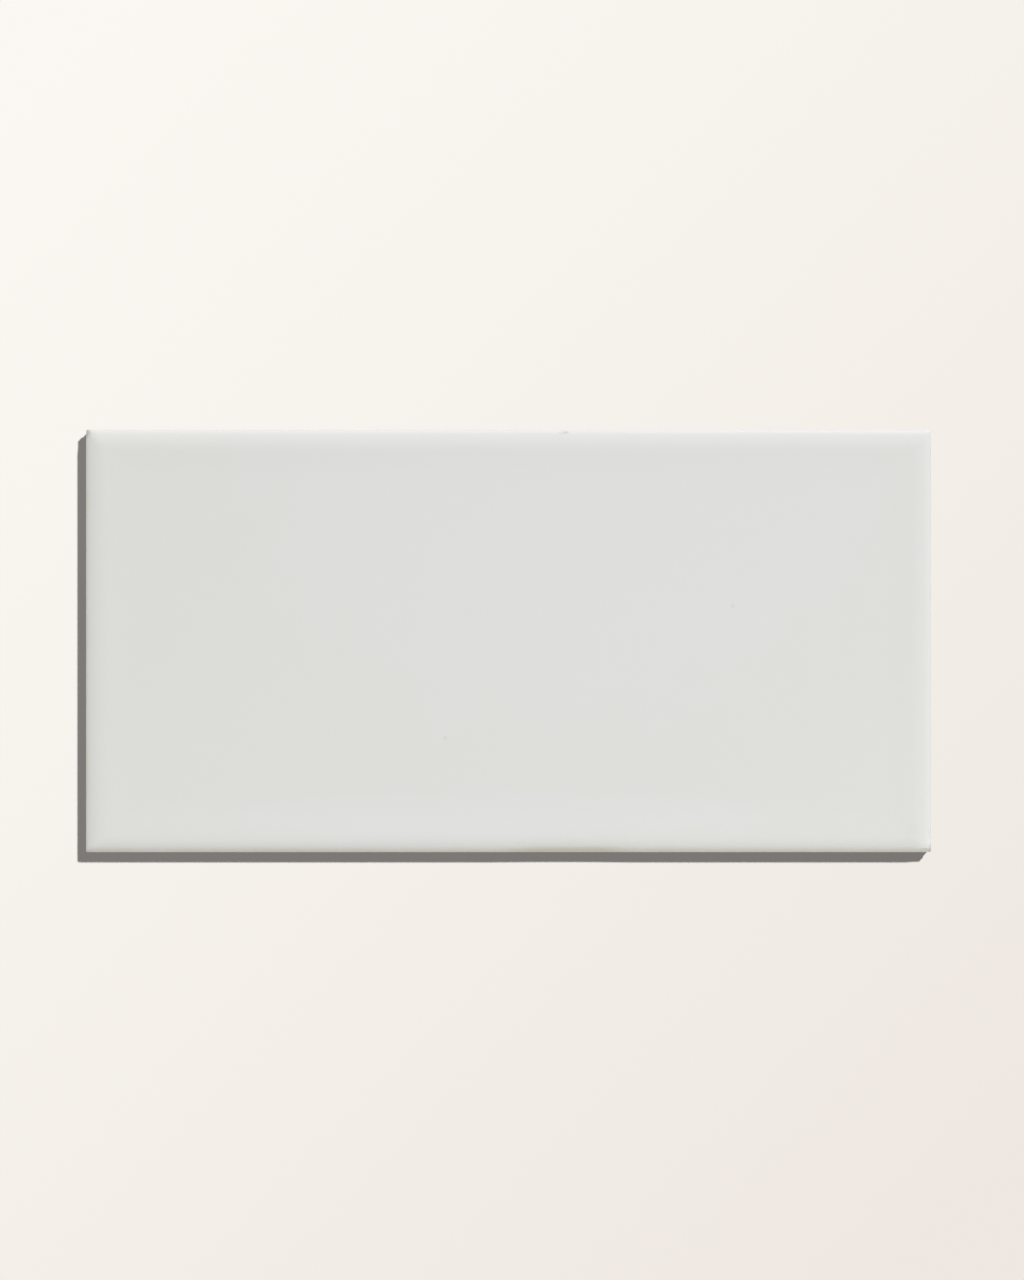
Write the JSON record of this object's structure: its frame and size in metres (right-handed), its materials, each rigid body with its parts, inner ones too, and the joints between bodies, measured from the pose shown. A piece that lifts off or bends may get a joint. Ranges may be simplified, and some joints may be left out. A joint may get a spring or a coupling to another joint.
{
  "type": "subway wall tile",
  "caption": "Rectangular glazed wall tile with cushioned edges all round and a back keyed for adhesive, laid in courses to face a wall.",
  "frame": {"origin": "middle of the back face, on the plane of its rim and ribs", "axes": "+X along the tile's length, +Y across its width, +Z out of the back through the glazed face"},
  "size_m": [0.1524, 0.0762, 0.008],
  "materials": {
    "white_glaze": "gloss"
  },
  "bodies": {
    "root": {"tile": "white_glaze"}
  },
  "joints": []
}
